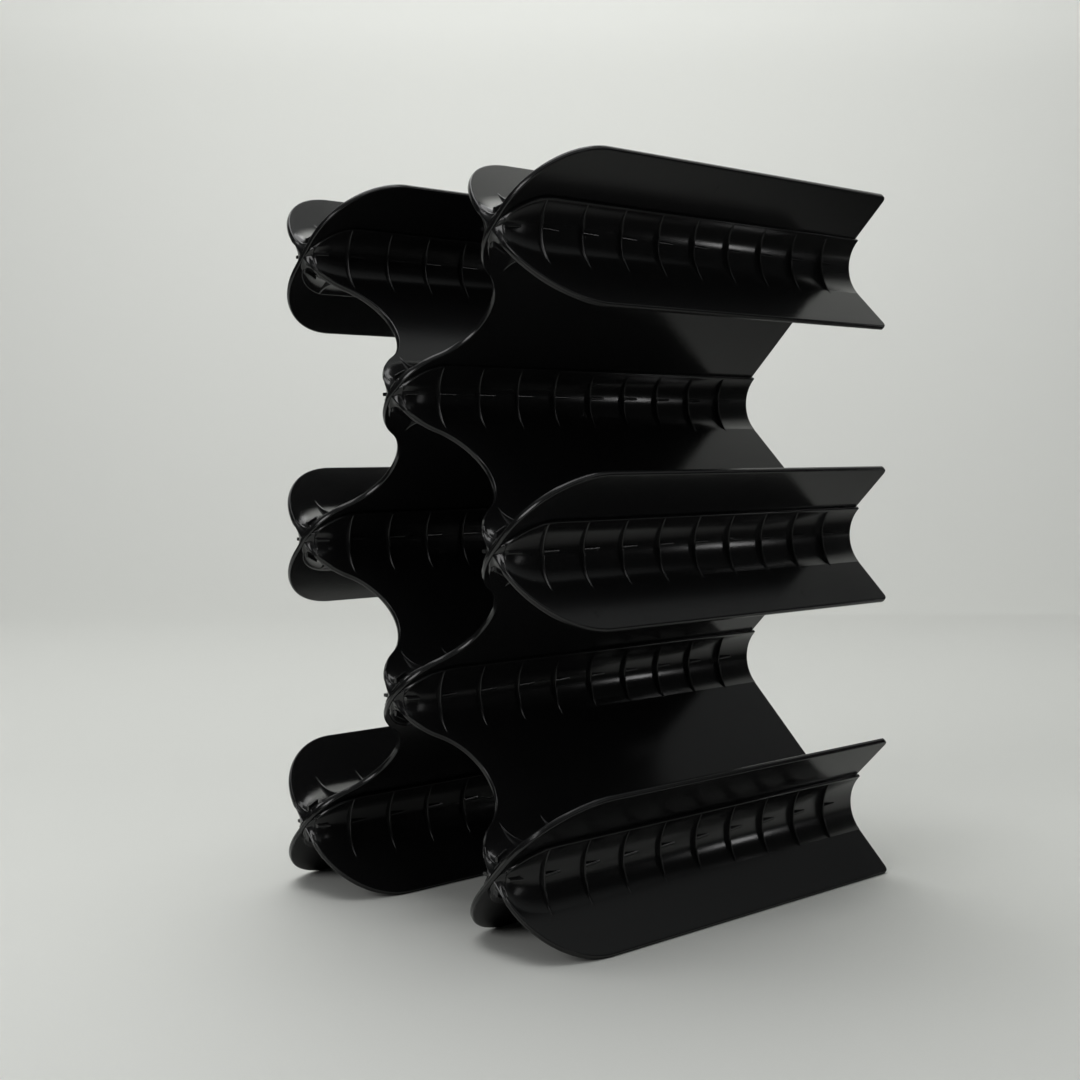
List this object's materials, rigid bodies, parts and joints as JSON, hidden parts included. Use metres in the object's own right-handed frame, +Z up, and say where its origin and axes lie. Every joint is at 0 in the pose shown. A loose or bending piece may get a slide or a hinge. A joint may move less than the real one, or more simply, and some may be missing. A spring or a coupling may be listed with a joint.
{
  "type": "wine rack",
  "caption": "Free-standing wine rack: a diamond lattice of interlocking moulded boards with finned cradles, holding bottles lying front to back.",
  "frame": {"origin": "on the ground, midway between the two sides and midway between the front noses and the back edges", "axes": "+X to the right seen from the front, +Y from the front (bottle necks) to the back (bottle bottoms), +Z up"},
  "size_m": [0.2286, 0.262, 0.3797],
  "materials": {
    "black_plastic": "satin black, injection moulded, soft sheen"
  },
  "bodies": {
    "root": {"upper_rising_board": "black_plastic", "lower_rising_board": "black_plastic", "top_left_rising_board": "black_plastic", "bottom_right_rising_board": "black_plastic", "upper_falling_board": "black_plastic", "lower_falling_board": "black_plastic", "top_right_falling_board": "black_plastic", "bottom_left_falling_board": "black_plastic"}
  },
  "joints": []
}
